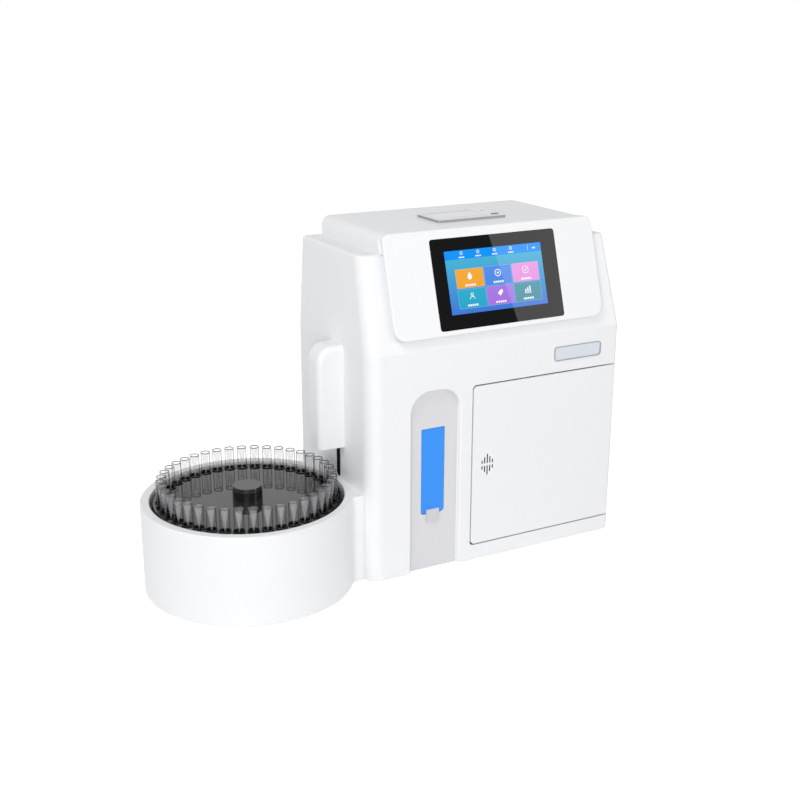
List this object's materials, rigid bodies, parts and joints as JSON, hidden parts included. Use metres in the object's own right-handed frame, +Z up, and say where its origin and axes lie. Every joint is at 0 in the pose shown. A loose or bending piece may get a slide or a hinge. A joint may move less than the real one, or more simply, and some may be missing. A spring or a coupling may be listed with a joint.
{
  "type": "electrolyte analyzer",
  "caption": "Bench-top electrolyte analyzer with a tilted touch screen, a front door, a sampling flap, a printer in the top and a round sample tray under a probe arm",
  "frame": {"origin": "on the table, under the middle of the whole part", "axes": "+X to the right along the front, +Y to the back, +Z up"},
  "size_m": [0.6771, 0.2836, 0.4737],
  "materials": {
    "main_shell": "smooth white moulding",
    "base_plate": "grey powder coat",
    "body_feet": "matt black rubber",
    "rear_panel": "light grey powder coat",
    "rear_screws": "plain steel",
    "top_hood": "smooth white moulding",
    "fascia": "smooth white moulding",
    "display_glass": "black-bordered cover glass",
    "display_module": "black module",
    "name_badge": "bare satin plate",
    "arm_housing": "smooth white moulding",
    "slot_liner": "black",
    "arm_rail": "ground rod",
    "bay_liner": "light grey",
    "door_catch": "black",
    "electrode_rack": "white",
    "electrodes": "clear housings",
    "reference_electrode": "clear housing",
    "electrode_clamp": "dark grey",
    "pump_housing": "dark grey",
    "pump_tube": "silicone tube",
    "pump_motor": "steel can",
    "pump_rotor": "white",
    "pump_rollers": "white",
    "reagent_pack": "white carton and cap",
    "port_liner": "dark grey",
    "port_needle": "steel tube and block",
    "door_panel": "smooth white moulding",
    "door_hinge_pins": "steel",
    "sampling_flap": "bright blue",
    "flap_tab": "light grey",
    "flap_pins": "steel",
    "probe_carriage": "dark grey",
    "probe_needle": "steel",
    "tray_base": "smooth white moulding",
    "tray_bottom": "grey powder coat",
    "tray_feet": "matt black rubber",
    "spindle_bearing": "plain bush",
    "tray_motor": "steel can",
    "carousel_disc": "mirror-smooth grey",
    "carousel_spindle": "ground shaft",
    "sample_cups": "clear cups",
    "knob": "black",
    "knob_cap": "dark grey",
    "printer_frame": "white",
    "printer_case": "dark grey",
    "printer_lid": "white",
    "lid_pins": "steel",
    "platen_roller": "black rubber",
    "paper_roll": "white paper",
    "feed_button": "grey",
    "status_led": "green",
    "power_inlet": "black",
    "switch_frame": "black",
    "power_rocker": "black",
    "serial_port": "plated shell",
    "main_board": "green board",
    "power_supply": "sheet case"
  },
  "bodies": {
    "base": {"main_shell": "main_shell", "base_plate": "base_plate", "body_feet": "body_feet", "rear_panel": "rear_panel", "rear_screws": "rear_screws", "top_hood": "top_hood", "fascia": "fascia", "display_glass": "display_glass", "display_module": "display_module", "name_badge": "name_badge", "arm_housing": "arm_housing", "slot_liner": "slot_liner", "arm_rail": "arm_rail", "bay_liner": "bay_liner", "door_catch": "door_catch", "electrode_rack": "electrode_rack", "electrodes": "electrodes", "reference_electrode": "reference_electrode", "pump_housing": "pump_housing", "pump_tube": "pump_tube", "pump_motor": "pump_motor", "reagent_pack": "reagent_pack", "port_liner": "port_liner", "port_needle": "port_needle", "door_hinge_pins": "door_hinge_pins", "flap_pins": "flap_pins", "tray_base": "tray_base", "tray_bottom": "tray_bottom", "tray_feet": "tray_feet", "spindle_bearing": "spindle_bearing", "tray_motor": "tray_motor", "printer_frame": "printer_frame", "printer_case": "printer_case", "lid_pins": "lid_pins", "paper_roll": "paper_roll", "status_led": "status_led", "power_inlet": "power_inlet", "switch_frame": "switch_frame", "serial_port": "serial_port", "main_board": "main_board", "power_supply": "power_supply"},
    "door": {"door_panel": "door_panel"},
    "flap": {"sampling_flap": "sampling_flap", "flap_tab": "flap_tab"},
    "probe": {"probe_carriage": "probe_carriage", "probe_needle": "probe_needle"},
    "carousel": {"carousel_disc": "carousel_disc", "carousel_spindle": "carousel_spindle", "sample_cups": "sample_cups", "knob": "knob", "knob_cap": "knob_cap"},
    "lid": {"printer_lid": "printer_lid"},
    "platen": {"platen_roller": "platen_roller"},
    "feed_key": {"feed_button": "feed_button"},
    "rocker": {"power_rocker": "power_rocker"},
    "pump": {"pump_rotor": "pump_rotor", "pump_rollers": "pump_rollers"},
    "clamp": {"electrode_clamp": "electrode_clamp"}
  },
  "joints": [
    {"name": "door_hinge", "type": "hinge", "parent": "base", "child": "door", "pos_m": [0.33255, -0.0884, 0.142], "axis": [0, 0, 1], "range_deg": [0, 110]},
    {"name": "flap_hinge", "type": "hinge", "parent": "base", "child": "flap", "pos_m": [0.0384, -0.0849, 0.2053], "axis": [-1, 0, 0], "range_deg": [0, 60]},
    {"name": "probe_slide", "type": "slide", "parent": "base", "child": "probe", "axis": [0, 0, -1], "range_m": [0, 0.042]},
    {"name": "carousel_spin", "type": "hinge", "parent": "base", "child": "carousel", "pos_m": [-0.19675, 0, 0.12], "axis": [0, 0, 1], "continuous": true},
    {"name": "lid_hinge", "type": "hinge", "parent": "base", "child": "lid", "pos_m": [0.13005, 0.0406, 0.471], "axis": [-1, 0, 0], "range_deg": [0, 85]},
    {"name": "platen_spin", "type": "hinge", "parent": "lid", "child": "platen", "pos_m": [0.13005, -0.0024, 0.4625], "axis": [1, 0, 0], "continuous": true},
    {"name": "feed_key_press", "type": "slide", "parent": "base", "child": "feed_key", "axis": [0, 0, -1], "range_m": [0, 0.0008], "stiffness_N_per_m": 200},
    {"name": "rocker_tilt", "type": "hinge", "parent": "base", "child": "rocker", "pos_m": [0.23855, 0.1216, 0.107], "axis": [1, 0, 0], "range_deg": [0, 14]},
    {"name": "pump_spin", "type": "hinge", "parent": "base", "child": "pump", "pos_m": [0.14655, -0.0024, 0.091], "axis": [0, 1, 0], "continuous": true},
    {"name": "clamp_turn", "type": "hinge", "parent": "base", "child": "clamp", "pos_m": [0.30655, -0.0074, 0.191], "axis": [1, 0, 0], "range_deg": [0, 90]}
  ]
}
